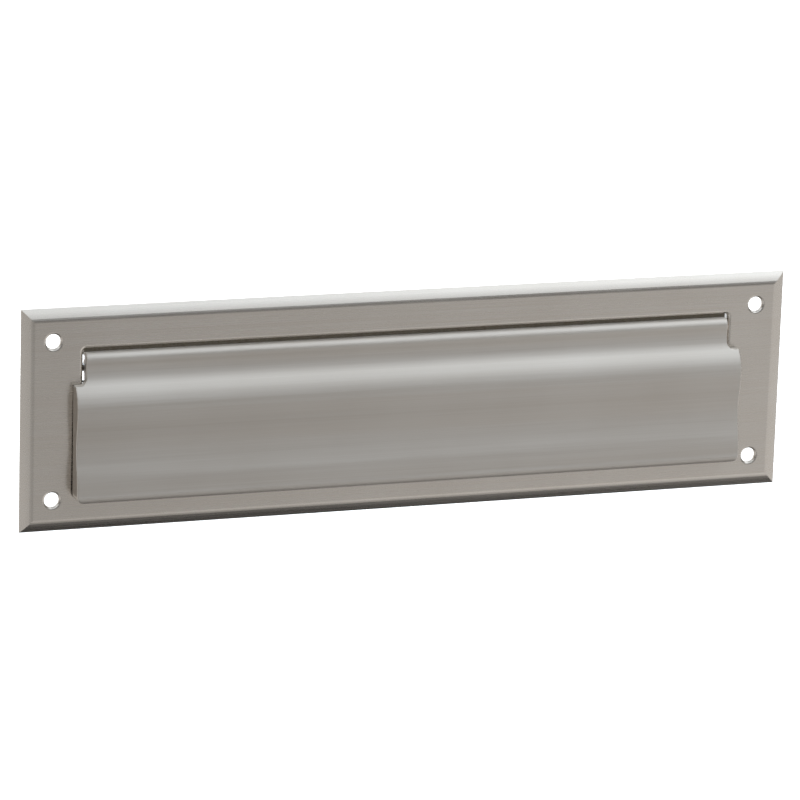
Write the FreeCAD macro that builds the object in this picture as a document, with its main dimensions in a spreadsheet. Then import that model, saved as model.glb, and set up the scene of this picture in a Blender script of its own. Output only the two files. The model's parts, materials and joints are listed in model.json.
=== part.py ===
import FreeCAD, Part
import math
import os
import Sketcher

# A letter plate: a bevelled front plate with a spring-closed flap that lifts outwards.
# Frame: millimetres, +X to the right seen from the street, +Z up, the street side faces -Y.
# The origin is the centre of the four screw holes, on the back plane that lies on the door.

V = FreeCAD.Vector
SPARE = 2    # how far a cut runs past the metal, in millimetres

DIMENSIONS = {
    # front plate
    "plate_width": 330.2, "plate_height": 92.1, "plate_thick": 3.0,
    "bevel_width": 5.24, "crown_width": 1.555, "crown_drop": 0.284, "edge_land": 0.7,
    "rim_width": 5.2, "hollow_depth": 1.4, "boss_sink": 0.2,
    "screw_x": 152.15, "screw_z": 32.75, "screw_hole_radius": 3.05, "screw_hole_soften": 1.0,
    "boss_radius": 6.2, "boss_bore": 4.7,
    "opening_x": 139.8, "opening_top": 29.3, "opening_bottom": 25.5,
    "opening_corner": 1.3, "opening_soften": 1.4,
    # hinge line
    "hinge_y": 2.5, "hinge_z": 20.4, "rod_radius": 1.6, "rod_reach": 145.6,
    "running_gap": 0.06, "groove_radius": 1.25, "groove_start": 142.7, "groove_width": 0.7,
    "rod_chamfer": 0.4,
    # flap, seen from the front
    "neck_x": 139.1, "wing_x": 144.0, "flap_top": 27.7, "wing_top": 14.8,
    "flap_bottom": 33.0, "wing_fillet": 2.7, "ear_round": 0.6, "bottom_corner": 3.2,
    # flap, proud of the plate's face
    "bead_proud": 2.3, "bead_z": 24.8, "bead_round": 2.9, "neck_proud": 1.8, "neck_z": 21.4,
    "cove_z": 21.047, "shoulder_proud": 4.2, "shoulder_z": 14.2,
    "cove_radius": 10.967, "ridge_proud": 7.6, "ridge_z": 4.5, "valley_proud": 5.8,
    "valley_z": 11.0, "lip_proud": 8.3, "lip_z": 28.6, "rim_flare": 0.2, "rim_z": 30.2,
    "rim_round": 2.505, "rim_base_proud": 7.3,
    # flap, behind its front
    "flap_wall": 2.0, "neck_back": 1.6, "neck_foot": 12.0, "hollow_top_proud": 3.3,
    "top_standoff": 0.35, "bottom_standoff": 1.3, "edge_round": 0.6,
    # draught lip behind the neck: it closes the gap above the flap
    "draught_root": 26.2, "draught_top": 29.6, "draught_front": 0.9, "draught_back": 0.7,
    # knuckles on the flap's back: how far each starts from the middle
    "knuckle_radius": 3.3, "knuckle_width": 8.0,
    "outer_knuckle": 129.5, "inner_knuckle": 109.5, "middle_knuckle": 40.0,
    # rubber bumpers under the flap's lower corners
    "bumper_x": 136.0, "bumper_z": 28.3, "bumper_head": 2.5, "bumper_stem": 1.4,
    "bumper_gap": 0.05, "bumper_height": 2.3, "stem_length": 2.6, "stem_gap": 0.05,
    "bumper_boss": 2.8, "boss_depth": 4.2, "bumper_round": 0.5,
    # hinge brackets
    "bracket_x": 141.0, "bracket_sheet": 1.6, "bracket_back": 7.2, "bracket_top": 29.2,
    "bracket_foot": 11.6, "tab_height": 5.4, "tab_reach": 150.0, "bracket_round": 1.2,
    "bracket_screw_x": 146.8, "bracket_screw_top": 26.3, "bracket_screw_low": 14.4,
    "pad_radius": 3.1, "tapped_depth": 2.2, "screw_radius": 1.25, "thread_gap": 0.05,
    "head_radius": 2.25, "head_height": 1.5, "head_round": 0.6, "screw_length": 3.4,
    "recess_length": 2.4, "recess_width": 0.6, "recess_depth": 0.8,
    # retaining clips
    "clip_x": 142.75, "clip_sheet": 0.6, "clip_radius": 3.0, "clip_mouth": 2.2,
    # torsion springs
    "wire_radius": 0.5, "coil_radius": 2.6, "coil_start": 119.0, "coil_length": 9.0,
    "coil_turns": 8.0, "flap_leg_angle": 190.2, "fixed_leg_angle": 172.0, "flap_leg": 5.5,
    "fixed_leg_z": 15.4, "fixed_leg_x": 143.0, "leg_bend": 1.2,
}

doc = FreeCAD.newDocument("letter_plate")
sheet = doc.addObject("Spreadsheet::Sheet", "Sizes")


class Size:
    """A length that also carries the sheet expression it is worked out from."""

    def __init__(self, value, text):
        self.value = value
        self.text = text

    def __add__(self, other):
        other = as_size(other)
        return Size(self.value + other.value, f"({self.text} + {other.text})")

    def __sub__(self, other):
        other = as_size(other)
        return Size(self.value - other.value, f"({self.text} - {other.text})")

    def __mul__(self, other):
        other = as_size(other)
        return Size(self.value * other.value, f"({self.text} * {other.text})")

    def __truediv__(self, other):
        other = as_size(other)
        return Size(self.value / other.value, f"({self.text} / {other.text})")

    def __neg__(self):
        return Size(-self.value, f"(0 - {self.text})")


def as_size(number):
    if isinstance(number, Size):
        return number
    return Size(float(number), f"{number}")


def fill_sheet():
    sizes = {}
    for row, (alias, value) in enumerate(DIMENSIONS.items(), start=1):
        sheet.set(f"A{row}", alias)
        sheet.set(f"B{row}", f"{value}")
        sheet.setAlias(f"B{row}", alias)
        sizes[alias] = Size(value, f"Sizes.{alias}")
    doc.recompute()
    return sizes


S = fill_sheet()
FACE_Y = -S["plate_thick"]


def proud(alias):
    """The Y of something that stands this far in front of the plate's face."""
    return FACE_Y - S[alias]


def sweep_radius(height, depth):
    """Radius of an arc that starts straight up and down and moves depth over height."""
    return (height * height + depth * depth) / (depth * 2)


def carry_on_radius(first_height, first_depth, height, depth):
    """Radius of an arc over height and depth that carries smoothly on from such a sweep."""
    first = sweep_radius(first_height, first_depth)
    sine = first_height / first
    cosine = (first - first_depth) / first
    return (height * height + depth * depth) / ((depth * cosine - height * sine) * 2)


# ---------------------------------------------------------------- sketching

def new_body(name):
    body = doc.addObject("PartDesign::Body", name)
    body.Label = name
    return body


def new_sketch(body, plane, name, offset=None):
    """A sketch on one of the body's own planes, moved along the plane's normal by offset."""
    sketch = body.newObject("Sketcher::SketchObject", name)
    origin_plane = [f for f in body.Origin.OriginFeatures if f.Role == plane][0]
    sketch.AttachmentSupport = [(origin_plane, "")]
    sketch.MapMode = "FlatFace"
    if offset is not None:
        offset = as_size(offset)
        sketch.AttachmentOffset = FreeCAD.Placement(V(0, 0, offset.value), FreeCAD.Rotation())
        sketch.setExpression("AttachmentOffset.Base.z", offset.text)
    return sketch


def bind(sketch, constraint, size):
    index = sketch.addConstraint(constraint)
    sketch.setExpression(f"Constraints[{index}]", size.text)


def pin_point(sketch, geometry, position, x, y):
    bind(sketch, Sketcher.Constraint("DistanceX", geometry, position, x.value), x)
    bind(sketch, Sketcher.Constraint("DistanceY", geometry, position, y.value), y)


def arc_between(start, end, radius, left):
    """The short arc from start to end, turning left or right, as sketch geometry."""
    middle = (start + end) * 0.5
    half = (end - start) * 0.5
    rise = math.sqrt(radius ** 2 - half.Length ** 2)
    side = V(-half.y, half.x, 0).normalize()
    centre = middle + side * (rise if left else -rise)
    first, last = (start, end) if left else (end, start)
    angles = [math.atan2(p.y - centre.y, p.x - centre.x) for p in (first, last)]
    return Part.ArcOfCircle(Part.Circle(centre, V(0, 0, 1), radius), angles[0], angles[1])


def draw_outline(sketch, points):
    """Close an outline. Each point is (x, y) or (x, y, radius, "left" or "right"), where the
    radius belongs to the arc from that point to the next one."""
    points = [tuple(as_size(v) if i < 3 else v for i, v in enumerate(p)) for p in points]
    first = sketch.GeometryCount
    starts = []
    for index, point in enumerate(points):
        following = points[(index + 1) % len(points)]
        start = V(point[0].value, point[1].value, 0)
        end = V(following[0].value, following[1].value, 0)
        if len(point) == 2:
            sketch.addGeometry(Part.LineSegment(start, end))
            starts.append(1)
        else:
            left = point[3] == "left"
            sketch.addGeometry(arc_between(start, end, point[2].value, left))
            starts.append(1 if left else 2)
    for index, point in enumerate(points):
        after = (index + 1) % len(points)
        sketch.addConstraint(Sketcher.Constraint(
            "Coincident", first + index, 3 - starts[index], first + after, starts[after]))
        pin_point(sketch, first + index, starts[index], point[0], point[1])
        if len(point) > 2:
            bind(sketch, Sketcher.Constraint("Radius", first + index, point[2].value), point[2])


def draw_circle(sketch, x, y, radius):
    x, y, radius = as_size(x), as_size(y), as_size(radius)
    centre = V(x.value, y.value, 0)
    geometry = sketch.addGeometry(Part.Circle(centre, V(0, 0, 1), radius.value))
    pin_point(sketch, geometry, 3, x, y)
    bind(sketch, Sketcher.Constraint("Radius", geometry, radius.value), radius)


def rectangle(left, bottom, right, top):
    return [(left, bottom), (right, bottom), (right, top), (left, top)]


# ---------------------------------------------------------------- features

def add_pad(body, sketch, length, symmetric=False, backwards=False):
    pad = body.newObject("PartDesign::Pad", f"{sketch.Name}_pad")
    pad.Profile = sketch
    length = as_size(length)
    pad.setExpression("Length", length.text)
    pad.Midplane = symmetric
    pad.Reversed = backwards
    doc.recompute()
    return pad


def add_pocket(body, sketch, length=None, symmetric=False, backwards=False):
    """Cut a sketch away, over a length or right through, and make sure that it did cut."""
    before = body.Shape.Volume
    pocket = body.newObject("PartDesign::Pocket", f"{sketch.Name}_cut")
    pocket.Profile = sketch
    if length is None:
        pocket.Type = "ThroughAll"
    else:
        pocket.setExpression("Length", as_size(length).text)
    pocket.Midplane = symmetric
    pocket.Reversed = backwards
    doc.recompute()
    if body.Shape.Volume > before - 1e-3:
        raise RuntimeError(f"{sketch.Name} cut nothing")
    return pocket


def edges_where(shape, test):
    return [f"Edge{i}" for i, edge in enumerate(shape.Edges, start=1) if test(edge)]


def is_circle(edge, radius, y):
    """A round edge of this radius that lies in the plane at this y."""
    if not isinstance(edge.Curve, Part.Circle):
        return False
    centre = edge.Curve.Center
    return abs(edge.Curve.Radius - radius) < 1e-4 and abs(centre.y - y) < 1e-4


def lies_in_y(edge, y):
    return all(abs(edge.valueAt(p).y - y) < 1e-4 for p in edge.ParameterRange)


def add_fillet(body, test, radius):
    base = body.Tip
    names = edges_where(base.Shape, test)
    if not names:
        raise RuntimeError(f"no edge to round on {body.Label}")
    fillet = body.newObject("PartDesign::Fillet", f"{body.Name}_round")
    fillet.Base = (base, names)
    fillet.setExpression("Radius", radius.text)
    doc.recompute()
    if not fillet.isValid() or not fillet.Shape.isValid():
        raise RuntimeError(f"{len(names)} edges of {body.Label} didn't take a round of {radius.value}")
    return fillet


# ---------------------------------------------------------------- front plate

def make_front_plate():
    body = new_body("front_plate")
    half_width = S["plate_width"] / 2
    half_height = S["plate_height"] / 2
    land_y = -S["edge_land"]

    # the bevel is two arcs: a tight crown next to the face, then a flatter slope to the edge
    slope_width = S["bevel_width"] - S["crown_width"]
    slope_drop = S["plate_thick"] - S["edge_land"] - S["crown_drop"]
    crown = sweep_radius(S["crown_width"], S["crown_drop"])
    slope = carry_on_radius(S["crown_width"], S["crown_drop"], slope_width, slope_drop)
    crown_y = FACE_Y + S["crown_drop"]

    section = new_sketch(body, "YZ_Plane", "plate_section")
    draw_outline(section, [
        (0, -half_height),
        (0, half_height),
        (land_y, half_height, slope, "left"),
        (crown_y, half_height - slope_width, crown, "left"),
        (FACE_Y, half_height - S["bevel_width"]),
        (FACE_Y, S["bevel_width"] - half_height, crown, "left"),
        (crown_y, slope_width - half_height, slope, "left"),
        (land_y, -half_height),
    ])
    add_pad(body, section, S["plate_width"], symmetric=True)

    # the two end bevels, cut so that the corners come out mitred
    ends = new_sketch(body, "XY_Plane", "end_bevels")
    for side, bend in ((1, "right"), (-1, "left")):
        draw_outline(ends, [
            (half_width * side, land_y, slope, bend),
            ((half_width - slope_width) * side, crown_y, crown, bend),
            ((half_width - S["bevel_width"]) * side, FACE_Y),
            ((half_width - S["bevel_width"]) * side, FACE_Y - SPARE),
            ((half_width + SPARE) * side, FACE_Y - SPARE),
            ((half_width + SPARE) * side, land_y),
        ])
    add_pocket(body, ends, symmetric=True)

    # hollow back, with collars left round the door screws and pads for the brackets
    inside_x = half_width - S["rim_width"]
    inside_z = half_height - S["rim_width"]
    hollow = new_sketch(body, "XZ_Plane", "hollow_back")
    draw_outline(hollow, rectangle(-inside_x, -inside_z, inside_x, inside_z))
    add_pocket(body, hollow, S["hollow_depth"], backwards=True)

    boss_height = S["hollow_depth"] + S["boss_sink"]
    collars = new_sketch(body, "XZ_Plane", "screw_collars")
    pads = new_sketch(body, "XZ_Plane", "bracket_pads")
    for side in (-1, 1):
        for level in (-1, 1):
            for radius in ("boss_radius", "boss_bore"):
                draw_circle(collars, S["screw_x"] * side, S["screw_z"] * level, S[radius])
        for height in ("bracket_screw_top", "bracket_screw_low"):
            draw_circle(pads, S["bracket_screw_x"] * side, S[height], S["pad_radius"])
    add_pad(body, collars, boss_height)
    add_pad(body, pads, boss_height)

    # the opening behind the flap
    corner = S["opening_corner"]
    edge_x = S["opening_x"]
    opening = new_sketch(body, "XZ_Plane", "letter_opening")
    draw_outline(opening, [
        (-edge_x, -S["opening_bottom"]),
        (edge_x, -S["opening_bottom"]),
        (edge_x, S["opening_top"] - corner, corner, "left"),
        (edge_x - corner, S["opening_top"]),
        (corner - edge_x, S["opening_top"], corner, "left"),
        (-edge_x, S["opening_top"] - corner),
    ])
    add_pocket(body, opening, backwards=True)

    # tapped holes for the bracket screws, blind from the back
    tapped = new_sketch(body, "XZ_Plane", "tapped_holes")
    for side in (-1, 1):
        for height in ("bracket_screw_top", "bracket_screw_low"):
            draw_circle(tapped, S["bracket_screw_x"] * side, S[height], S["screw_radius"])
    add_pocket(body, tapped, S["tapped_depth"], backwards=True)

    # door screw holes, with softly rounded mouths
    screw_holes = new_sketch(body, "XZ_Plane", "door_screw_holes")
    for side in (-1, 1):
        for level in (-1, 1):
            draw_circle(screw_holes, S["screw_x"] * side, S["screw_z"] * level,
                        S["screw_hole_radius"])
    add_pocket(body, screw_holes, backwards=True)

    face_y = FACE_Y.value
    add_fillet(body, lambda e: is_circle(e, S["screw_hole_radius"].value, face_y),
               S["screw_hole_soften"])

    def round_the_opening(edge):
        box = edge.BoundBox
        inside = max(abs(box.XMin), abs(box.XMax)) < S["opening_x"].value + 0.1
        return lies_in_y(edge, face_y) and inside and box.ZMax < S["opening_top"].value + 0.1
    add_fillet(body, round_the_opening, S["opening_soften"])
    return body


# ---------------------------------------------------------------- flap

def flap_front(shift=0):
    """The flap's moulded front from its ridge down to its lip, moved back by shift."""
    ridge = (proud("ridge_proud") + shift, S["ridge_z"])
    valley = (proud("valley_proud") + shift, -S["valley_z"])
    lip = (proud("lip_proud") + shift, -S["lip_z"])
    upper = sweep_radius((ridge[1] - valley[1]) / 2, (valley[0] - ridge[0]) / 2)
    lower = sweep_radius((valley[1] - lip[1]) / 2, (valley[0] - lip[0]) / 2)
    turn_in = ((ridge[0] + valley[0]) / 2, (ridge[1] + valley[1]) / 2)
    turn_out = ((valley[0] + lip[0]) / 2, (valley[1] + lip[1]) / 2)
    return [
        (ridge[0], ridge[1], upper, "left"),
        (turn_in[0], turn_in[1], upper, "right"),
        (valley[0], valley[1], lower, "right"),
        (turn_out[0], turn_out[1], lower, "left"),
        lip,
    ]


def make_flap():
    body = new_body("flap")
    shoulder = (proud("shoulder_proud"), S["shoulder_z"])
    shoulder_radius = sweep_radius(S["shoulder_z"] - S["ridge_z"],
                                   S["ridge_proud"] - S["shoulder_proud"])
    flare_radius = sweep_radius(S["rim_z"] - S["lip_z"], S["rim_flare"])
    flap_base = -S["flap_bottom"]
    neck_back = -S["neck_back"]
    wing = S["wing_x"]
    neck = S["neck_x"]

    # one moulded section, the full width of the broad part
    bead_top = FACE_Y - S["bead_proud"] + S["bead_round"]
    bead = (proud("bead_proud"), S["bead_z"])
    throat = (proud("neck_proud"), S["neck_z"])
    sway = sweep_radius((bead[1] - throat[1]) / 2, (throat[0] - bead[0]) / 2)
    front = flap_front()
    lip = front[-1]
    section = new_sketch(body, "YZ_Plane", "flap_section")
    draw_outline(section, [
        (bead_top, S["flap_top"], S["bead_round"], "left"),
        (bead[0], bead[1], sway, "left"),
        ((bead[0] + throat[0]) / 2, (bead[1] + throat[1]) / 2, sway, "right"),
        throat,
        (throat[0], S["cove_z"], S["cove_radius"], "right"),
        (shoulder[0], shoulder[1], shoulder_radius, "left"),
    ] + front[:-1] + [
        (lip[0], lip[1], flare_radius, "right"),
        (lip[0] - S["rim_flare"], -S["rim_z"], S["rim_round"], "left"),
        (proud("rim_base_proud"), flap_base),
        (neck_back, flap_base),
        (neck_back, S["draught_root"]),
        (S["draught_back"], S["draught_root"]),
        (S["draught_back"], S["draught_top"]),
        (-S["draught_front"], S["draught_top"]),
        (-S["draught_front"], S["flap_top"]),
    ])
    add_pad(body, section, wing * 2, symmetric=True)

    # cut its outline to a T: a narrow neck at the top, rounded corners at the bottom
    ear = S["ear_round"]
    cove = S["wing_fillet"]
    corner = S["bottom_corner"]
    trim = new_sketch(body, "XZ_Plane", "flap_outline")
    for side, bend, bend_back in ((1, "right", "left"), (-1, "left", "right")):
        draw_outline(trim, [
            (neck * side, S["draught_top"] + SPARE),
            (neck * side, S["wing_top"] + cove, cove, bend_back),
            ((neck + cove) * side, S["wing_top"]),
            ((wing - ear) * side, S["wing_top"], ear, bend),
            (wing * side, S["wing_top"] - ear),
            ((wing + SPARE) * side, S["wing_top"] - ear),
            ((wing + SPARE) * side, S["draught_top"] + SPARE),
        ])
        draw_outline(trim, [
            (wing * side, flap_base + corner, corner, bend),
            ((wing - corner) * side, flap_base),
            ((wing - corner) * side, flap_base - SPARE),
            ((wing + SPARE) * side, flap_base - SPARE),
            ((wing + SPARE) * side, flap_base + corner),
        ])
    add_pocket(body, trim, symmetric=True)
    add_fillet(body, is_front_edge, S["edge_round"])

    # hollow back of the broad part
    inner = flap_front(S["flap_wall"])
    floor_z = flap_base + S["flap_wall"]
    hollow = new_sketch(body, "YZ_Plane", "flap_hollow")
    hollow_top = (proud("hollow_top_proud"), S["neck_foot"])
    top_radius = sweep_radius(hollow_top[1] - inner[0][1], hollow_top[0] - inner[0][0])
    draw_outline(hollow, [
        (hollow_top[0], hollow_top[1], top_radius, "left"),
    ] + inner[:-1] + [
        inner[-1],
        (inner[-1][0], floor_z),
        (0, floor_z),
        (0, S["neck_foot"]),
    ])
    add_pocket(body, hollow, (wing - S["flap_wall"]) * 2, symmetric=True)

    # trim the broad part's back edges clear of the plate's face
    back_top = FACE_Y - S["top_standoff"]
    back_bottom = FACE_Y - S["bottom_standoff"]
    back = new_sketch(body, "YZ_Plane", "flap_back")
    draw_outline(back, [
        (back_top, S["neck_foot"]),
        (back_bottom, flap_base),
        (back_bottom, flap_base - SPARE),
        (0, flap_base - SPARE),
        (0, S["neck_foot"]),
    ])
    add_pocket(body, back, wing * 3, symmetric=True)
    for side, hand in ((-1, "left"), (1, "right")):
        ears = new_sketch(body, "YZ_Plane", f"{hand}_ear_back", offset=neck * side)
        draw_outline(ears, rectangle(back_top, S["neck_foot"] - SPARE, as_size(0),
                                     S["wing_top"] + cove))
        add_pocket(body, ears, wing - neck, backwards=side > 0)

    # three pairs of knuckles for the hinge rod
    radius = S["knuckle_radius"]
    for name in ("outer", "inner", "middle"):
        for side, hand in ((-1, "left"), (1, "right")):
            start = S[f"{name}_knuckle"] * side
            section = new_sketch(body, "YZ_Plane", f"{hand}_{name}_knuckle_section",
                                 offset=start)
            draw_outline(section, [
                (neck_back, S["hinge_z"] - radius),
                (S["hinge_y"], S["hinge_z"] - radius, radius, "left"),
                (S["hinge_y"] + radius, S["hinge_z"], radius, "left"),
                (S["hinge_y"], S["hinge_z"] + radius),
                (neck_back, S["hinge_z"] + radius),
            ])
            add_pad(body, section, S["knuckle_width"], backwards=side < 0)
    section = new_sketch(body, "YZ_Plane", "rod_hole")
    draw_circle(section, S["hinge_y"], S["hinge_z"], S["rod_radius"] + S["running_gap"])
    add_pocket(body, section, S["wing_x"] * 2, symmetric=True)

    # sockets for the rubber bumpers
    seat = -(FACE_Y - S["bumper_gap"] - S["bumper_height"])
    bosses = new_sketch(body, "XZ_Plane", "bumper_bosses", offset=seat)
    sockets = new_sketch(body, "XZ_Plane", "bumper_sockets", offset=seat)
    for side in (-1, 1):
        draw_circle(bosses, S["bumper_x"] * side, -S["bumper_z"], S["bumper_boss"])
        draw_circle(sockets, S["bumper_x"] * side, -S["bumper_z"],
                    S["bumper_stem"] + S["stem_gap"])
    add_pad(body, bosses, S["boss_depth"])
    add_pocket(body, sockets, S["stem_length"] + S["stem_gap"], backwards=True)
    return body


def lies_along_y(edge):
    if not isinstance(edge.Curve, Part.Line):
        return False
    return abs(abs(edge.Curve.Direction.y) - 1) < 1e-6


def is_front_edge(edge):
    """A front edge of the broad part's end walls; its round runs on from there."""
    points = [edge.valueAt(p) for p in edge.ParameterRange]
    front = proud("shoulder_proud").value + 0.01
    return all(abs(abs(p.x) - S["wing_x"].value) < 1e-3 and p.y < front for p in points)


# ---------------------------------------------------------------- hinge rod and its clips

def make_hinge_rod():
    body = new_body("hinge_rod")
    profile = new_sketch(body, "XY_Plane", "rod_profile")
    reach = S["rod_reach"]
    chamfer = S["rod_chamfer"]
    groove = S["groove_start"]
    groove_end = groove + S["groove_width"]
    draw_outline(profile, [
        (-reach, 0),
        (reach, 0),
        (reach, S["rod_radius"] - chamfer),
        (reach - chamfer, S["rod_radius"]),
        (groove_end, S["rod_radius"]),
        (groove_end, S["groove_radius"]),
        (groove, S["groove_radius"]),
        (groove, S["rod_radius"]),
        (-groove, S["rod_radius"]),
        (-groove, S["groove_radius"]),
        (-groove_end, S["groove_radius"]),
        (-groove_end, S["rod_radius"]),
        (chamfer - reach, S["rod_radius"]),
        (-reach, S["rod_radius"] - chamfer),
    ])
    turn = body.newObject("PartDesign::Revolution", "rod_turning")
    turn.Profile = profile
    turn.ReferenceAxis = (profile, ["H_Axis"])
    turn.Angle = 360
    doc.recompute()
    place_on_hinge(body)
    return body


def place_on_hinge(item):
    """Move an object modelled about the X axis onto the hinge line."""
    item.setExpression("Placement.Base.y", S["hinge_y"].text)
    item.setExpression("Placement.Base.z", S["hinge_z"].text)
    doc.recompute()


def make_retaining_clip(side, hand):
    """A flat spring clip, open downwards, in the rod's groove outside the bracket."""
    body = new_body(f"{hand}_retaining_clip")
    outline = new_sketch(body, "YZ_Plane", f"{hand}_clip_outline", offset=S["clip_x"] * side)
    draw_circle(outline, 0, 0, S["clip_radius"])
    draw_circle(outline, 0, 0, S["groove_radius"] + S["thread_gap"])
    add_pad(body, outline, S["clip_sheet"], backwards=side < 0)
    mouth = new_sketch(body, "YZ_Plane", f"{hand}_clip_mouth")
    half = S["clip_mouth"] / 2
    draw_outline(mouth, rectangle(-half, -S["clip_radius"] * 2, half, as_size(0)))
    add_pocket(body, mouth, S["rod_reach"] * 4, symmetric=True)
    place_on_hinge(body)
    return body


# ---------------------------------------------------------------- brackets and screws

def make_hinge_bracket(side, hand):
    """A bent steel bracket: an upright that holds the rod, and two feet on the plate's back."""
    body = new_body(f"{hand}_hinge_bracket")
    top = S["bracket_top"]
    foot = S["bracket_foot"]
    upright = new_sketch(body, "YZ_Plane", f"{hand}_upright", offset=S["bracket_x"] * side)
    corner = S["bracket_round"]
    draw_outline(upright, [
        (0, foot),
        (S["bracket_back"] - corner, foot, corner, "left"),
        (S["bracket_back"], foot + corner),
        (S["bracket_back"], top - corner, corner, "left"),
        (S["bracket_back"] - corner, top),
        (0, top),
    ])
    add_pad(body, upright, S["bracket_sheet"], backwards=side < 0)

    feet = new_sketch(body, "XZ_Plane", f"{hand}_feet")
    inner_x = S["bracket_x"] * side
    outer_x = S["tab_reach"] * side
    for low in (foot, top - S["tab_height"]):
        draw_outline(feet, rectangle(inner_x, low, outer_x, low + S["tab_height"]))
    add_pad(body, feet, S["bracket_sheet"], backwards=True)

    rod_hole = new_sketch(body, "YZ_Plane", f"{hand}_rod_hole")
    draw_circle(rod_hole, S["hinge_y"], S["hinge_z"], S["rod_radius"] + S["running_gap"])
    add_pocket(body, rod_hole, S["plate_width"], symmetric=True)

    screw_holes = new_sketch(body, "XZ_Plane", f"{hand}_screw_holes")
    for height in ("bracket_screw_top", "bracket_screw_low"):
        draw_circle(screw_holes, S["bracket_screw_x"] * side, S[height],
                    S["screw_radius"] + S["thread_gap"])
    add_pocket(body, screw_holes, S["plate_thick"] * 4, symmetric=True)
    add_fillet(body, lambda e: is_foot_corner(e, side), S["bracket_round"])
    return body


def is_foot_corner(edge, side):
    return lies_along_y(edge) and abs(edge.Vertexes[0].X - S["tab_reach"].value * side) < 1e-3


def make_bracket_screws(side, hand):
    """The two pan-head screws of one bracket, as one group of separate solids."""
    screws = []
    for height, level in (("bracket_screw_top", "top"), ("bracket_screw_low", "low")):
        name = f"{hand}_{level}_screw"
        body = new_body(name)
        profile = new_sketch(body, "XY_Plane", f"{name}_profile")
        under_head = S["bracket_sheet"]
        crown = under_head + S["head_height"]
        shank = S["screw_radius"] - S["thread_gap"]
        draw_outline(profile, [
            (0, under_head - S["screw_length"]),
            (shank, under_head - S["screw_length"]),
            (shank, under_head),
            (S["head_radius"], under_head),
            (S["head_radius"], crown - S["head_round"], S["head_round"], "left"),
            (S["head_radius"] - S["head_round"], crown),
            (0, crown),
        ])
        turn = body.newObject("PartDesign::Revolution", f"{name}_turning")
        turn.Profile = profile
        turn.ReferenceAxis = (profile, ["V_Axis"])
        turn.Angle = 360
        doc.recompute()
        for arm, sizes in (("long", ("recess_length", "recess_width")),
                           ("cross", ("recess_width", "recess_length"))):
            half_x = S[sizes[0]] / 2
            half_z = S[sizes[1]] / 2
            recess = new_sketch(body, "XZ_Plane", f"{name}_{arm}_recess", offset=-crown)
            draw_outline(recess, rectangle(-half_x, -half_z, half_x, half_z))
            add_pocket(body, recess, S["recess_depth"], backwards=True)
        body.setExpression("Placement.Base.x", (S["bracket_screw_x"] * side).text)
        body.setExpression("Placement.Base.z", S[height].text)
        screws.append(body)
    group = doc.addObject("Part::Compound", f"{hand}_bracket_screws")
    group.Links = screws
    doc.recompute()
    return group


# ---------------------------------------------------------------- springs

def make_torsion_spring(side, hand):
    """A coil round the rod. Its inboard end presses the neck forwards above the rod, and its
    outboard end runs under the end knuckle and presses on the plate's back."""
    wire = S["wire_radius"].value
    mean = S["coil_radius"].value
    first_x = S["coil_start"].value
    last_x = first_x + S["coil_length"].value
    first_turn = S["flap_leg_angle"].value
    last_turn = S["fixed_leg_angle"].value + 360 * S["coil_turns"].value
    turns = (last_turn - first_turn) / 360

    def on_coil(x, degrees):
        a = math.radians(degrees)
        return V(x, S["hinge_y"].value + mean * math.cos(a),
                 S["hinge_z"].value + mean * math.sin(a))

    def along_coil(degrees):
        a = math.radians(degrees)
        return V(0, -math.sin(a), math.cos(a))

    coil = Part.makeHelix(S["coil_length"].value / turns, S["coil_length"].value, mean)
    coil.Placement = FreeCAD.Placement(
        V(first_x, S["hinge_y"].value, S["hinge_z"].value),
        FreeCAD.Rotation(V(0, 1, 0), V(0, 0, 1), V(1, 0, 0), "ZXY").multiply(
            FreeCAD.Rotation(V(0, 0, 1), first_turn)))

    leg_root = on_coil(first_x, first_turn)
    leg_tip = leg_root - along_coil(first_turn) * S["flap_leg"].value
    hook_root = on_coil(last_x, last_turn)
    down = along_coil(last_turn)
    hook_corner = hook_root + down * ((S["fixed_leg_z"].value - hook_root.z) / down.z)
    bend = S["leg_bend"].value
    outwards = V(1, 0, 0)
    bend_start = hook_corner - down * bend
    bend_end = hook_corner + outwards * bend
    bend_middle = hook_corner + (outwards - down) * (bend * (1 - math.sqrt(0.5)))
    hook_tip = V(S["fixed_leg_x"].value, hook_corner.y, hook_corner.z)
    path = Part.Wire([
        Part.LineSegment(leg_tip, leg_root).toShape(),
        *coil.Edges,
        Part.LineSegment(hook_root, bend_start).toShape(),
        Part.Arc(bend_start, bend_middle, bend_end).toShape(),
        Part.LineSegment(bend_end, hook_tip).toShape(),
    ])
    section = Part.Wire(Part.makeCircle(wire, leg_tip, along_coil(first_turn)))
    shape = path.makePipeShell([section], True, False)
    spring = doc.addObject("Part::Feature", f"{hand}_torsion_spring")
    spring.Shape = shape if side > 0 else shape.mirror(V(0, 0, 0), V(1, 0, 0))
    return spring


# ---------------------------------------------------------------- bumpers

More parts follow.
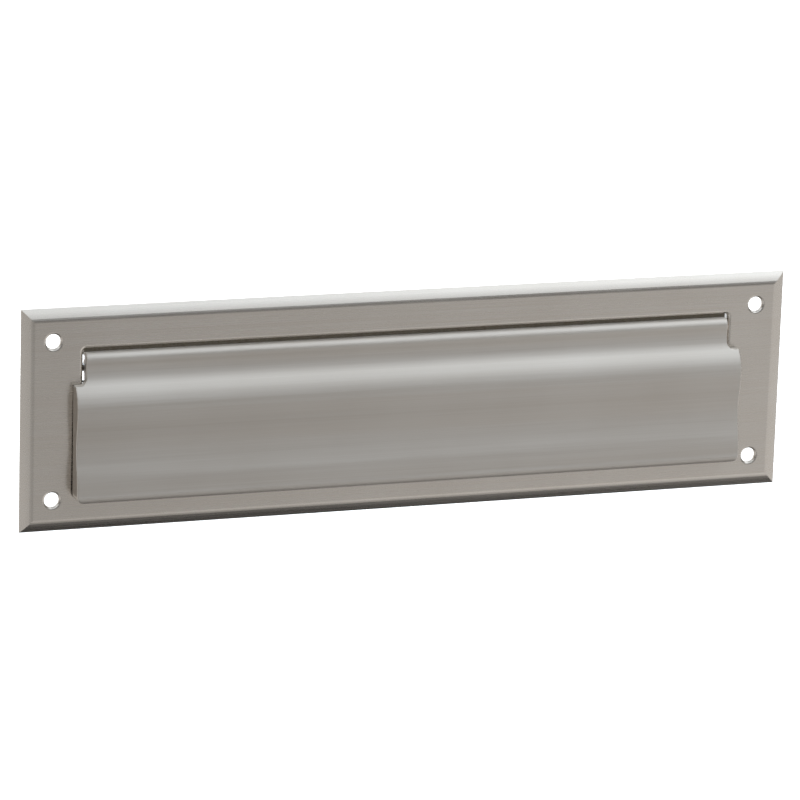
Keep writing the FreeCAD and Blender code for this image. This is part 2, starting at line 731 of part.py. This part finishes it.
def make_bumper(side, hand):
    """A rubber button: its stem sits in the flap's socket and its head meets the plate."""
    body = new_body(f"{hand}_bumper")
    profile = new_sketch(body, "XY_Plane", f"{hand}_bumper_profile")
    face = FACE_Y - S["bumper_gap"]
    seat = face - S["bumper_height"]
    soft = S["bumper_round"]
    draw_outline(profile, [
        (0, seat - S["stem_length"]),
        (S["bumper_stem"], seat - S["stem_length"]),
        (S["bumper_stem"], seat),
        (S["bumper_head"], seat),
        (S["bumper_head"], face - soft, soft, "left"),
        (S["bumper_head"] - soft, face),
        (0, face),
    ])
    turn = body.newObject("PartDesign::Revolution", f"{hand}_bumper_turning")
    turn.Profile = profile
    turn.ReferenceAxis = (profile, ["V_Axis"])
    turn.Angle = 360
    body.setExpression("Placement.Base.x", (S["bumper_x"] * side).text)
    body.setExpression("Placement.Base.z", (-S["bumper_z"]).text)
    doc.recompute()
    return body


# ---------------------------------------------------------------- build, check and write

SIDES = ((-1, "left"), (1, "right"))


def build_all():
    nodes = [make_front_plate(), make_flap(), make_hinge_rod()]
    for side, hand in SIDES:
        nodes.append(make_hinge_bracket(side, hand))
        nodes.append(make_bracket_screws(side, hand))
        nodes.append(make_retaining_clip(side, hand))
        nodes.append(make_torsion_spring(side, hand))
        nodes.append(make_bumper(side, hand))
    return nodes


def check(nodes):
    doc.recompute()
    for item in doc.Objects:
        if "Invalid" in item.State or "Error" in item.State:
            raise RuntimeError(f"{item.Label} failed: {item.State}")
    for node in nodes:
        if node.Shape.isNull() or not node.Shape.isValid():
            raise RuntimeError(f"{node.Label} has no valid shape")
        print(f"{node.Label}: {len(node.Shape.Solids)} solids, {node.Shape.Volume:.0f} mm3")


parts = build_all()
check(parts)
os.makedirs("parts", exist_ok=True)
for part in parts:
    part.Shape.exportStep(f"parts/{part.Label}.step")
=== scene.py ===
import json
import math

import bmesh
import bpy
from mathutils import Matrix, Vector


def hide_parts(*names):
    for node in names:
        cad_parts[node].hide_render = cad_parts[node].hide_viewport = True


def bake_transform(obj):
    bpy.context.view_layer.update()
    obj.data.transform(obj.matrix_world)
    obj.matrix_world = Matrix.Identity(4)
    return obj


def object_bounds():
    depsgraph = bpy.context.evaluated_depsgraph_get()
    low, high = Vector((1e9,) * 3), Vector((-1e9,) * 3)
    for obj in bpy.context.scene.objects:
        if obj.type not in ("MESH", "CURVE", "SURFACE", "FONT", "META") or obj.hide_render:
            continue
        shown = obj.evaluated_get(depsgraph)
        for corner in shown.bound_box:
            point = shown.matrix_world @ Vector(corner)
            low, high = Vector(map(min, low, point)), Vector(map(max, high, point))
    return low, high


# A letter plate in brushed satin nickel: bevelled front plate, moulded flap on a sprung hinge.
# Everything is in metres in the CAD frame: +X right seen from the street, +Z up, street at -Y.

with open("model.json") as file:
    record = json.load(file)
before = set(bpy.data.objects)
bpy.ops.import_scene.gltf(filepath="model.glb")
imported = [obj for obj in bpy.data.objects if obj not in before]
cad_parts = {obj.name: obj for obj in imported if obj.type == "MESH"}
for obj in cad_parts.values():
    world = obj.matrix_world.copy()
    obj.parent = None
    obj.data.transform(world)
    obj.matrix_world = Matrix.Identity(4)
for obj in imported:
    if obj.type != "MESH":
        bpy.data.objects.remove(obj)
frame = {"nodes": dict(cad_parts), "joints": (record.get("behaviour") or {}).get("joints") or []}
cad_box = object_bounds()
scene = bpy.context.scene
MM = 0.001


# ---------------------------------------------------------------- camera

def make_camera():
    """A long lens, slightly from the left and above, with a small roll."""
    azimuth, elevation, roll = map(math.radians, (-19.83, 14.54, 1.77))
    distance, aside, below = 1954 * MM, 3.7 * MM, 0.6 * MM
    back = Vector((
        math.sin(azimuth) * math.cos(elevation),
        -math.cos(azimuth) * math.cos(elevation),
        math.sin(elevation),
    ))
    level = Vector((0, 0, 1)).cross(back).normalized()
    upright = back.cross(level)
    right = level * math.cos(roll) + upright * math.sin(roll)
    up = upright * math.cos(roll) - level * math.sin(roll)
    turn = Matrix((right, up, back)).transposed()
    centre = back * distance - right * aside - up * below
    lens = bpy.data.cameras.new("camera")
    lens.sensor_width = 36
    lens.lens = 214.02
    lens.clip_end = 60
    camera = bpy.data.objects.new("camera", lens)
    camera.matrix_world = Matrix.Translation(centre) @ turn.to_4x4()
    scene.collection.objects.link(camera)
    scene.camera = camera


# ---------------------------------------------------------------- shader helpers

class Shader:
    """A small helper that adds nodes to a tree and links them."""

    def __init__(self, tree):
        self.tree = tree
        tree.nodes.clear()

    def add(self, kind, **values):
        node = self.tree.nodes.new(kind)
        for name, value in values.items():
            setattr(node, name, value)
        return node

    def feed(self, socket, value):
        if isinstance(value, bpy.types.NodeSocket):
            self.tree.links.new(value, socket)
        else:
            socket.default_value = value

    def math(self, operation, a, b=0.0, clamp=False):
        node = self.add("ShaderNodeMath", operation=operation, use_clamp=clamp)
        self.feed(node.inputs[0], a)
        self.feed(node.inputs[1], b)
        return node.outputs[0]

    def vector(self, operation, a, b):
        node = self.add("ShaderNodeVectorMath", operation=operation)
        self.feed(node.inputs[0], a)
        self.feed(node.inputs[1], b)
        return node.outputs[0]

    def position(self, scale):
        """Object coordinates in metres, stretched by scale."""
        place = self.add("ShaderNodeTexCoord")
        return self.vector("MULTIPLY", place.outputs["Object"], scale)

    def noise(self, vector, detail=4.0, roughness=0.5):
        node = self.add("ShaderNodeTexNoise")
        self.feed(node.inputs["Vector"], vector)
        self.feed(node.inputs["Scale"], 1.0)
        self.feed(node.inputs["Detail"], detail)
        self.feed(node.inputs["Roughness"], roughness)
        return node.outputs["Fac"]

    def split(self, vector):
        node = self.add("ShaderNodeSeparateXYZ")
        self.feed(node.inputs[0], vector)
        return node.outputs

    def remap(self, value, low, high, to_low=0.0, to_high=1.0, smooth=False):
        node = self.add("ShaderNodeMapRange",
                        interpolation_type="SMOOTHSTEP" if smooth else "LINEAR")
        for socket, number in zip(node.inputs, (value, low, high, to_low, to_high)):
            self.feed(socket, number)
        return node.outputs[0]

    def mix(self, share, a, b):
        node = self.add("ShaderNodeMix", data_type="RGBA")
        self.feed(node.inputs["Factor"], share)
        self.feed(node.inputs[6], a)
        self.feed(node.inputs[7], b)
        return node.outputs[2]

    def ramp(self, value, stops):
        """stops are (position, brightness or colour)."""
        node = self.add("ShaderNodeValToRGB")
        self.feed(node.inputs[0], value)
        elements = node.color_ramp.elements
        while len(elements) < len(stops):
            elements.new(0.5)
        for element, (place, colour) in zip(elements, stops):
            element.position = place
            if not isinstance(colour, tuple):
                colour = (colour, colour, colour)
            element.color = (*colour, 1)
        return node.outputs[0]

    def bump(self, height, distance, strength):
        node = self.add("ShaderNodeBump")
        self.feed(node.inputs["Strength"], strength)
        self.feed(node.inputs["Distance"], distance)
        self.feed(node.inputs["Height"], height)
        return node.outputs[0]


def new_material(name):
    material = bpy.data.materials.new(name)
    material.use_nodes = True
    shader = Shader(material.node_tree)
    surface = shader.add("ShaderNodeBsdfPrincipled")
    output = shader.add("ShaderNodeOutputMaterial")
    shader.tree.links.new(surface.outputs[0], output.inputs["Surface"])
    return material, shader, surface


# ---------------------------------------------------------------- materials

HALF_WIDTH, HALF_HEIGHT = cad_box[1][0], cad_box[1][2]
# Depth bands for the dark casting colour, which is partly the real unbrushed back and partly painted
# shade in recesses; the outline is kept clear of it.
RIM = (3 * MM, 2 * MM)          # how far in from the outline the polish fades out
RAW_AND_SHADE_DEPTHS = (-1.6 * MM, -1.1 * MM)    # the depths between which the brushing ends


def brushed_nickel(name, roughness):
    """Satin nickel, brushed along X: fine parallel scratches and a faint mottling. Behind the
    plate, inside its rim, and on faces turned to the door, the casting is dull and unbrushed;
    its dark brown there is also painted shade for the recesses and the gaps round the flap."""
    material, s, surface = new_material(name)
    fine = s.noise(s.position((12, 2600, 2600)), detail=3, roughness=0.6)
    broad = s.noise(s.position((5, 420, 420)), detail=2)
    cloud = s.noise(s.position((22, 22, 22)), detail=2)
    brushing = s.math("ADD", s.math("MULTIPLY", fine, 0.6), s.math("MULTIPLY", broad, 0.4))

    warm, cool = (0.600, 0.548, 0.490, 1), (0.668, 0.622, 0.568, 1)
    tone = s.math("ADD", s.math("MULTIPLY", brushing, 0.7), s.math("MULTIPLY", cloud, 0.3))
    polished = s.mix(s.remap(tone, 0.3, 0.7, smooth=True), warm, cool)
    grit = s.noise(s.position((900, 900, 900)), detail=4, roughness=0.65)
    # Dull unbrushed casting colour; its dark brown also serves as painted shade in the recesses and
    # gaps.
    raw_and_shade = s.mix(s.remap(grit, 0.3, 0.7), (0.25, 0.215, 0.17, 1), (0.38, 0.34, 0.28, 1))

    place = s.add("ShaderNodeTexCoord").outputs
    x, y, z = s.split(place["Object"])
    beside = s.remap(s.math("ABSOLUTE", x), *(HALF_WIDTH - inset for inset in RIM))
    above = s.remap(s.math("ABSOLUTE", z), *(HALF_HEIGHT - inset for inset in RIM))
    rim = s.math("MAXIMUM", beside, above)
    # Everything set back past these depths gets the dark casting colour: real unbrushed metal behind,
    # and painted shade in the gaps round the flap; the outer rim is left polished.
    deep_raw_and_shade = s.math("SUBTRACT", s.remap(y, *RAW_AND_SHADE_DEPTHS), rim, clamp=True)
    turned = s.remap(s.split(place["Normal"])[1], 0.3, 0.6)
    unbrushed_and_shaded = s.math("MAXIMUM", deep_raw_and_shade, turned)
    s.feed(surface.inputs["Base Color"], s.mix(unbrushed_and_shaded, polished, raw_and_shade))
    satin = s.remap(brushing, 0.3, 0.7, roughness - 0.04, roughness + 0.04)
    dull = s.remap(grit, 0.3, 0.7, 0.52, 0.66)
    s.feed(surface.inputs["Roughness"], s.remap(unbrushed_and_shaded, 0, 1, satin, dull))
    surface.inputs["Metallic"].default_value = 1
    surface.inputs["Anisotropic"].default_value = 0.75

    normal = s.add("ShaderNodeNewGeometry").outputs["Normal"]
    across = s.vector("CROSS_PRODUCT", normal, (1, 0, 0))
    s.feed(surface.inputs["Tangent"], s.vector("ADD", across, (0, 0, 0.001)))
    s.feed(surface.inputs["Normal"], s.bump(brushing, 0.00002, 0.35))
    return material


def plated_steel(name, dark, light, roughness, grain):
    """Plain plated or bare steel with a fine mottled grain and slight stains."""
    material, s, surface = new_material(name)
    speckle = s.noise(s.position((grain, grain, grain)), detail=5, roughness=0.65)
    stain = s.noise(s.position((160, 160, 160)), detail=2)
    tone = s.math("ADD", s.math("MULTIPLY", speckle, 0.55), s.math("MULTIPLY", stain, 0.45))
    s.feed(surface.inputs["Base Color"], s.mix(s.remap(tone, 0.35, 0.65, smooth=True), dark, light))
    s.feed(surface.inputs["Roughness"], s.remap(tone, 0.35, 0.65, roughness + 0.06, roughness - 0.04))
    surface.inputs["Metallic"].default_value = 1
    s.feed(surface.inputs["Normal"], s.bump(speckle, 0.00003, 0.3))
    return material


def black_rubber():
    material, s, surface = new_material("black_rubber")
    grain = s.noise(s.position((2200, 2200, 2200)), detail=4)
    dust = s.noise(s.position((400, 400, 400)), detail=3)
    s.feed(surface.inputs["Base Color"],
           s.mix(s.remap(dust, 0.45, 0.75), (0.018, 0.018, 0.019, 1), (0.05, 0.048, 0.045, 1)))
    s.feed(surface.inputs["Roughness"], s.remap(grain, 0.3, 0.7, 0.62, 0.78))
    surface.inputs["Specular IOR Level"].default_value = 0.35
    s.feed(surface.inputs["Normal"], s.bump(grain, 0.00006, 0.4))
    return material


def dress(material, *nodes):
    for name in nodes:
        node = frame["nodes"][name]
        for place in range(len(node.material_slots)):
            node.material_slots[place].material = material


# ---------------------------------------------------------------- torsion springs

WIRE = 0.5 * MM
COIL = 2.6 * MM
TURNS = 8
STEPS_IN_TURN = 26
INBOARD, OUTBOARD = 119 * MM, 128 * MM      # the ends of the coil, along X
FLAP_LEG_ANGLE, PLATE_LEG_ANGLE = 190.2, 172
FLAP_LEG = 5.5 * MM
HOOK_HEIGHT, HOOK_TIP, HOOK_BEND = 15.4 * MM, 143 * MM, 1.2 * MM
BEND_STEPS = 6
END_RISE, END_SHARE = 0.35, 0.72            # chamfer of a wire's end, in radii
HINGE = Vector(frame["joints"][0]["pos_m"])


def spring_path():
    """The right-hand spring's centreline, from the tip of its leg on the flap's neck, round the
    coil, to the tip of its hook on the plate."""
    first = math.radians(FLAP_LEG_ANGLE)
    last = math.radians(PLATE_LEG_ANGLE + 360 * TURNS)
    steps = STEPS_IN_TURN * TURNS

    def on_coil(x, angle):
        return Vector((x, HINGE.y + COIL * math.cos(angle), HINGE.z + COIL * math.sin(angle)))

    def heading(angle):
        return Vector((0, -math.sin(angle), math.cos(angle)))

    root = on_coil(INBOARD, first)
    points = [root - heading(first) * FLAP_LEG * share for share in (1, 0.66, 0.33)]
    for step in range(steps + 1):
        share = step / steps
        angle = first + (last - first) * share
        points.append(on_coil(INBOARD + (OUTBOARD - INBOARD) * share, angle))
    hook_root = points[-1]
    down = heading(last)
    corner = hook_root + down * ((HOOK_HEIGHT - hook_root.z) / down.z)
    before, after = corner - down * HOOK_BEND, corner + Vector((HOOK_BEND, 0, 0))
    points.append((hook_root + before) / 2)
    for step in range(BEND_STEPS + 1):
        share = step / BEND_STEPS
        a, b = before.lerp(corner, share), corner.lerp(after, share)
        points.append(a.lerp(b, share))
    tip = Vector((HOOK_TIP, corner.y, corner.z))
    points += [after.lerp(tip, 0.5), tip]
    return points


def tube(points, radius, sides=14):
    """A round wire along points, with softly chamfered ends."""
    frames = []
    side = Vector((1, 0, 0))
    for index, point in enumerate(points):
        before, after = points[max(index - 1, 0)], points[min(index + 1, len(points) - 1)]
        ahead = (after - before).normalized()
        side = (side - ahead * side.dot(ahead)).normalized()
        frames.append((point, ahead, side, ahead.cross(side)))
    rings = [(frame_here, 0, 1) for frame_here in frames]
    rings = [(frames[0], -END_RISE, END_SHARE), *rings, (frames[-1], END_RISE, END_SHARE)]

    bm = bmesh.new()
    made = []
    for (point, ahead, side, other), shift, share in rings:
        ring = []
        for k in range(sides):
            a = 2 * math.pi * k / sides
            outwards = side * math.cos(a) + other * math.sin(a)
            ring.append(bm.verts.new(point + (ahead * shift + outwards * share) * radius))
        made.append(ring)
    for ring, following in zip(made, made[1:]):
        for k in range(sides):
            after = (k + 1) % sides
            face = bm.faces.new((ring[k], ring[after], following[after], following[k]))
            face.smooth = True
    bm.faces.new(made[0])
    bm.faces.new(made[-1])
    return bm


def make_springs(material):
    for side, hand in ((1, "right"), (-1, "left")):
        bm = tube(spring_path(), WIRE)
        if side < 0:
            bmesh.ops.scale(bm, vec=(-1, 1, 1), verts=bm.verts)
            bmesh.ops.reverse_faces(bm, faces=bm.faces)
        bmesh.ops.recalc_face_normals(bm, faces=bm.faces)
        mesh = bpy.data.meshes.new(f"{hand}_spring_wire")
        bm.to_mesh(mesh)
        bm.free()
        mesh.materials.append(material)
        spring = bpy.data.objects.new(f"{hand}_spring_wire", mesh)
        scene.collection.objects.link(spring)
        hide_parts(f"{hand}_torsion_spring")
        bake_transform(spring)


# ---------------------------------------------------------------- studio

def make_floor():
    bpy.ops.mesh.primitive_grid_add(x_subdivisions=2, y_subdivisions=2, size=24,
                                    location=(0, 4, -0.22))
    floor = bpy.context.object
    floor.name = "floor"
    material, _, surface = new_material("pale_floor")
    surface.inputs["Base Color"].default_value = (0.9, 0.9, 0.9, 1)
    surface.inputs["Roughness"].default_value = 0.9
    surface.inputs["Specular IOR Level"].default_value = 0.1
    floor.data.materials.append(material)
    floor.visible_glossy = False


def make_world():
    """A soft studio tent: bright overhead, a dark band just above eye level, greyer below it
    and dim underfoot, brighter at the sides, with a pale backdrop behind the plate."""
    world = bpy.data.worlds.new("studio")
    scene.world = world
    world.use_nodes = True
    s = Shader(world.node_tree)
    direction = s.add("ShaderNodeTexCoord").outputs["Generated"]
    axes = s.split(direction)
    height = s.remap(axes["Z"], -1, 1)

    def stop(elevation, brightness, tint=(1, 1, 1)):
        place = 0.5 + 0.5 * math.sin(math.radians(elevation))
        return (place, tuple(brightness * share for share in tint))

    cool = (0.90, 0.98, 1.06)
    level = s.ramp(height, [
        stop(-90, 0.01), stop(-68, 0.02), stop(-52, 0.10), stop(-37, 0.50),
        stop(-22, 0.49), stop(-6, 0.18), stop(12, 0.03), stop(26, 0.22),
        stop(38, 1.00, cool), stop(66, 0.86, cool), stop(90, 0.62, cool),
    ])
    sideways = s.ramp(s.remap(axes["X"], -1, 1), [
        (0.0, 0.85), (0.2, 0.80), (0.42, 0.56), (0.60, 0.56), (0.74, 0.98), (1.0, 1.0),
    ])
    light = s.add("ShaderNodeBackground")
    front = s.vector("MULTIPLY", level, sideways)
    behind = s.remap(axes["Y"], 0.05, 0.5, 0.0, 0.45)
    s.feed(light.inputs["Color"], s.vector("MAXIMUM", front, behind))
    light.inputs["Strength"].default_value = 2.2
    output = s.add("ShaderNodeOutputWorld")
    s.tree.links.new(light.outputs[0], output.inputs["Surface"])


def light_backdrop():
    """A lamp high behind the plate that lights the floor, and shows in no reflection."""
    data = bpy.data.lights.new("backdrop_light", "AREA")
    data.shape = "RECTANGLE"
    data.size, data.size_y = 5, 5
    data.energy = 260
    data.spread = math.radians(120)
    lamp = bpy.data.objects.new("backdrop_light", data)
    place, target = Vector((0.5, 3.5, 3.0)), Vector((0.5, 4.0, -0.22))
    lamp.location = place
    lamp.rotation_mode = "QUATERNION"
    lamp.rotation_quaternion = (target - place).to_track_quat("-Z", "Y")
    lamp.visible_glossy = False
    lamp.visible_camera = False
    scene.collection.objects.link(lamp)


def make_studio():
    make_floor()
    make_world()
    light_backdrop()
    scene.view_settings.view_transform = "Standard"
    scene.view_settings.look = "None"


# ---------------------------------------------------------------- put it together

make_camera()
make_studio()
spring_steel = plated_steel("spring_steel", (0.25, 0.24, 0.23, 1), (0.42, 0.41, 0.39, 1), 0.34, 900)
zinc = plated_steel("zinc_steel", (0.56, 0.57, 0.58, 1), (0.72, 0.73, 0.74, 1), 0.36, 700)
bright = plated_steel("bright_steel", (0.50, 0.50, 0.49, 1), (0.68, 0.68, 0.67, 1), 0.24, 1200)
dress(brushed_nickel("plate_nickel", 0.27), "front_plate")
dress(brushed_nickel("flap_nickel", 0.46), "flap")
dress(bright, "hinge_rod")
dress(zinc, "left_hinge_bracket", "right_hinge_bracket",
      "left_bracket_screws", "right_bracket_screws")
dress(spring_steel, "left_retaining_clip", "right_retaining_clip")
dress(black_rubber(), "left_bumper", "right_bumper")
make_springs(spring_steel)
